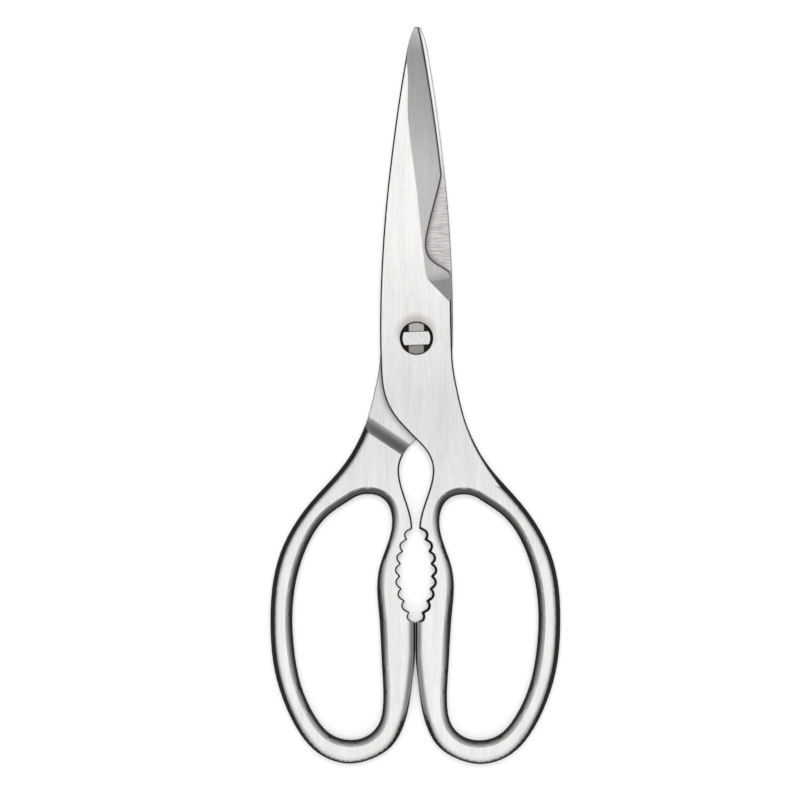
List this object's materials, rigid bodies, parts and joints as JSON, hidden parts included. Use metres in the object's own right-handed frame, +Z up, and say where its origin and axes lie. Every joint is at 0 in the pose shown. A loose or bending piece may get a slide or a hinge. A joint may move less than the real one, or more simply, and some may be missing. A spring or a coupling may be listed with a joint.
{
  "type": "kitchen shears",
  "caption": "All-steel take-apart kitchen shears with a finely serrated edge, bone notch, nutcracker teeth between the handles and large finger loops.",
  "frame": {"origin": "where the pivot axis meets the surface that the closed shears lie on", "axes": "+Y towards the blade tips, +X towards the right handle, +Z up along the pivot axis"},
  "size_m": [0.0896, 0.2279, 0.0071],
  "materials": {
    "front_half": "satin ground",
    "back_half": "satin ground",
    "pivot_stud": "turned and peened"
  },
  "bodies": {
    "back_half": {"back_half": "back_half", "pivot_stud": "pivot_stud"},
    "front_half": {"front_half": "front_half"}
  },
  "joints": [
    {"name": "pivot", "type": "hinge", "parent": "back_half", "child": "front_half", "pos_m": [0, 0, 0], "axis": [0, 0, 1], "range_deg": [0, 90]}
  ]
}
